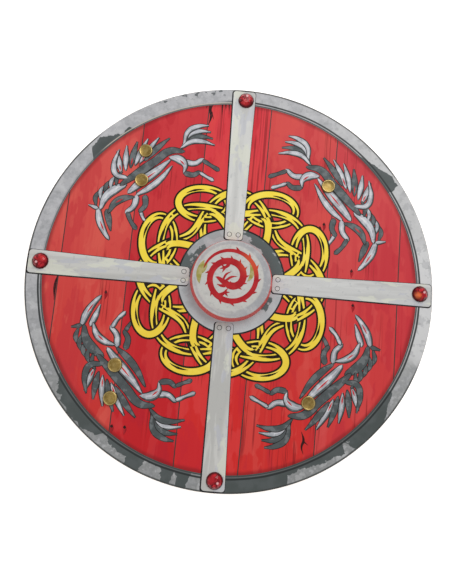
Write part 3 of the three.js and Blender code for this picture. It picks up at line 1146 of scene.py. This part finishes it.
def stone(name, x, y, low, high, radius):
    """A faceted stone: four rings of points and the hull round them."""
    height = high - low
    rings = ((16, radius, low, 0), (16, radius, low + 0.2 * height, 0),
             (8, 0.8 * radius, low + 0.66 * height, facet_turn), (8, 0.52 * radius, high, 0))
    parts = []
    for sides, ring_radius, level, turned in rings:
        place = (x * MM, y * MM, level * MM)
        bpy.ops.mesh.primitive_circle_add(vertices=sides, radius=ring_radius * MM, location=place,
                                          rotation=(0, 0, turned))
        parts.append(bpy.context.object)
    deselect()
    for part in parts:
        part.select_set(True)
    bpy.context.view_layer.objects.active = parts[0]
    bpy.ops.object.join()
    piece = bpy.context.object
    piece.name = name
    edit(piece)
    bpy.ops.mesh.select_all(action="SELECT")
    bpy.ops.mesh.convex_hull()
    bpy.ops.mesh.select_all(action="SELECT")
    bpy.ops.mesh.normals_make_consistent(inside=False)
    close_edit()
    return piece


def stone_finish(name, x, y, painted_glow_bearing, painted_glow_tone):
    """Red acrylic over foil, with painted light: faint cells of dark and bright red round the middle
    as painted light and shade on facets, a painted glow on one side, a pale painted glint on the
    other, and a dark edge of painted shade."""
    glass = Finish(name, Roughness=0.12, Specular_IOR_Level=0.22, Coat_Weight=0.1, Coat_Roughness=0.05)
    distance, bearing = glass.round_from(x, y)
    wedge = (bearing * (16 / 360) + 0.25 * distance).math_of("FLOOR")
    ring = (distance * 0.42).math_of("FLOOR")
    cell = glass.node("ShaderNodeCombineXYZ", {}, {0: wedge + 0.5, 1: ring + 0.5, 2: x * 0.1 + y * 0.01})
    facet_light_chance = glass.node("ShaderNodeTexWhiteNoise", {}, {"Vector": cell}, "Value")
    # Painted facet light: cells of dark and bright red stand in for lit and shaded facets.
    glass.start(facet_light_chance.fade(0.25, 0.6), (0.15, 0.002, 0.006), (0.36, 0.007, 0.014))
    glass.lay(facet_light_chance.fade(0.72, 0.92), (0.55, 0.02, 0.03))
    across, up = math.cos(math.radians(painted_glow_bearing)), math.sin(math.radians(painted_glow_bearing))
    from_painted_glow, _ = glass.round_from(x + 4 * across, y + 4 * up)
    # Painted glow: a lighter patch on one side of the stone.
    glass.lay(from_painted_glow.fade(5.0, 0.5) * 0.75, painted_glow_tone)
    # Painted glint: a pale highlight on the side away from the glow.
    from_painted_glint, _ = glass.round_from(x - 3 * across, y - 3 * up)
    glass.lay(from_painted_glint.fade(1.7, 0.5) * 0.7, (0.9, 0.6, 0.6))
    # Painted shade: the stone darkens towards its edge.
    painted_edge_shade = distance.fade(5.8, 7.3)
    glass.feed("Base Color", glass.mix(painted_edge_shade * 0.9, glass.tone, (0.055, 0.001, 0.003)))
    return glass


# A stone's painted glow: its bearing from the stone's middle in degrees, and its colour
painted_glows = {
    "top": (-100, (0.58, 0.025, 0.025)),
    "right": (-150, (0.85, 0.2, 0.05)),
    "bottom": (160, (0.5, 0.015, 0.025)),
    "left": (40, (0.6, 0.03, 0.03)),
}


for place, painted_glow in painted_glows.items():
    low, high = (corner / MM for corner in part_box(f"gem_{place}"))
    x, y = (low.x + high.x) / 2, (low.y + high.y) / 2
    piece = stone(f"stone_{place}", x, y, low.z, high.z, (high.x - low.x) / 2)
    stone_finish(f"red_acrylic_{place}", x, y, *painted_glow).dress(piece)
    settle(piece, f"stone_{place}", 0)
    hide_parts(f"gem_{place}")

# ---------------------------------------------------------------------------
# Rivets. Pressed brass caps, nearly flat with a rounded rim, closed through the board and
# the strap on a small domed head. Two hold each end of the grip, one each end of the other.
cap_radius = 6.8
cap_shoulder = 0.9
cap_dish = 0.35
shank_radius = 2.0
back_head_radius = 4.6
back_head_height = 1.4
strap_end_low = board_back - 3.0
cap_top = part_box("arm_rivet_top")[1].z / MM


def rivet_form(low, high):
    """One rivet on the axis: domed head behind, shank, and wide cap in front."""
    head = [(0.35 * back_head_radius, low), (0.75 * back_head_radius, low + 0.25 * back_head_height),
            (back_head_radius, low + 0.75 * back_head_height), (back_head_radius, strap_end_low)]
    cap = [(cap_radius, board_front),
           *rounding(cap_radius - cap_shoulder, high - cap_shoulder, cap_shoulder, 5, 0),
           (cap_radius - cap_shoulder - 0.25, high - 0.06),
           (cap_radius - cap_shoulder - 0.8, high - cap_dish),
           (1.6, high - cap_dish + 0.12)]
    return turn("rivet", [*head, (shank_radius, strap_end_low), (shank_radius, board_front), *cap], 40)


brass = Finish("brass", Metallic=1.0, Specular_IOR_Level=0.5)
brass_wear = brass.noise(2.6, (1, 1, 1), 4.0)
brass.start(brass_wear.fade(0.35, 0.7), (0.25, 0.165, 0.045), (0.34, 0.24, 0.08))
# The cap's raised rim is smoother from real polish and lighter as a painted highlight.
polish_and_highlight = brass.z.fade(cap_top - 0.3, cap_top - 0.08)
brass.lay(polish_and_highlight * 0.6, (0.5, 0.38, 0.16))
brass.feed("Base Color", brass.tone)
brass.feed("Roughness", 0.38 - 0.14 * polish_and_highlight + 0.16 * brass_wear)
rivet_nodes = sorted(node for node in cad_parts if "_rivet_" in node)
for node in rivet_nodes:
    low, high = (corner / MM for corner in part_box(node))
    rivet = rivet_form(low.z, high.z)
    rivet.location = ((low.x + high.x) / 2 * MM, (low.y + high.y) / 2 * MM, rivet.location.z)
    brass.dress(rivet)
    settle(rivet, f"{node}_brass", 40)
    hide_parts(node)

# ---------------------------------------------------------------------------
# Straps. Two bowed straps of stiff brown leather behind the board, one to hold and one for
# the forearm. Cut edges are burnished dark, and a line of stitching runs inside them.
strap_edge_round = 0.5
stitch_inset = 3.2
stitch_pitch = 4.2
stitch_half = 0.45
# A strap's lean in degrees, width, length, and the x and y of its middle
strap_shapes = {"grip_strap": (1.76, 30.0, 272.0, -100.5, 1.4), "arm_strap": (1.9, 26.0, 242.0, 86.4, -3.2)}


def copy_of(node):
    """A copy of a CAD node, its triangles merged into whole faces."""
    piece = bpy.data.objects.new(node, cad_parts[node].data.copy())
    bpy.context.collection.objects.link(piece)
    edit(piece)
    bpy.ops.mesh.select_all(action="SELECT")
    bpy.ops.mesh.remove_doubles(threshold=0.001 * MM)
    bpy.ops.mesh.dissolve_limited(angle_limit=math.radians(0.5))
    close_edit()
    return piece


def strap_finish(name, lean, width, length, middle_x, middle_y):
    """Brown leather with creases, pores, burnished edges and a row of pale stitches all round."""
    leather = Finish(name, Roughness=0.5, Specular_IOR_Level=0.45)
    sine, cosine = math.sin(math.radians(lean)), math.cos(math.radians(lean))
    across = (leather.x - middle_x) * cosine - (leather.y - middle_y) * sine
    along = (leather.x - middle_x) * sine + (leather.y - middle_y) * cosine
    pores = leather.noise(0.8, (1, 1, 1), 3.0)
    creases = leather.noise(5, (1, 2.4, 1), 4.0, (8, 0, 0))
    wear = leather.noise(24, (1, 1, 1), 3.0, (0, 20, 0))
    leather.start(creases.fade(0.35, 0.65), (0.085, 0.035, 0.015), (0.15, 0.065, 0.028))
    leather.lay(wear.fade(0.5, 0.75) * 0.5, (0.24, 0.115, 0.05))
    leather.lay(pores.fade(0.4, 0.28) * 0.5, (0.04, 0.017, 0.008))
    straight = (length - width) / 2
    past_straight = (along.absolute() - straight).most(0.0)
    from_edge = width / 2 - (across * across + past_straight * past_straight) ** 0.5
    leather.lay(from_edge.fade(1.3, 0.3) * 0.85, (0.035, 0.015, 0.008))
    stitch_row = (from_edge - stitch_inset).absolute()
    round_end = past_straight.math("ARCTAN2", past_straight, across.absolute())
    travel = along.absolute().least(straight) + (width / 2 - stitch_inset) * round_end
    stitch_step = (travel / stitch_pitch).math_of("FRACT")
    stitch = stitch_row.fade(stitch_half + 0.15, stitch_half) * (stitch_step - 0.5).absolute().fade(0.4, 0.32)
    groove = stitch_row.fade(1.1, 0.5)
    leather.lay(groove * 0.4, (0.045, 0.018, 0.009))
    leather.feed("Base Color", leather.mix(stitch, leather.tone, (0.55, 0.42, 0.26)))
    leather.bump(0.5 * creases + 0.35 * pores - 0.9 * groove + 1.2 * stitch, 0.35, 0.7)
    leather.feed("Roughness", 0.42 + 0.25 * creases)
    return leather


for node, shape in strap_shapes.items():
    strap = copy_of(node)
    rounded = strap.modifiers.new("edge", "BEVEL")
    rounded.width = strap_edge_round * MM
    rounded.segments = 2
    rounded.limit_method = "ANGLE"
    rounded.angle_limit = math.radians(50)
    use_only(strap)
    bpy.ops.object.modifier_apply(modifier=rounded.name)
    strap_finish(f"brown_leather_{node}", *shape).dress(strap)
    settle(strap, f"{node}_leather", 40)
    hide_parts(node)
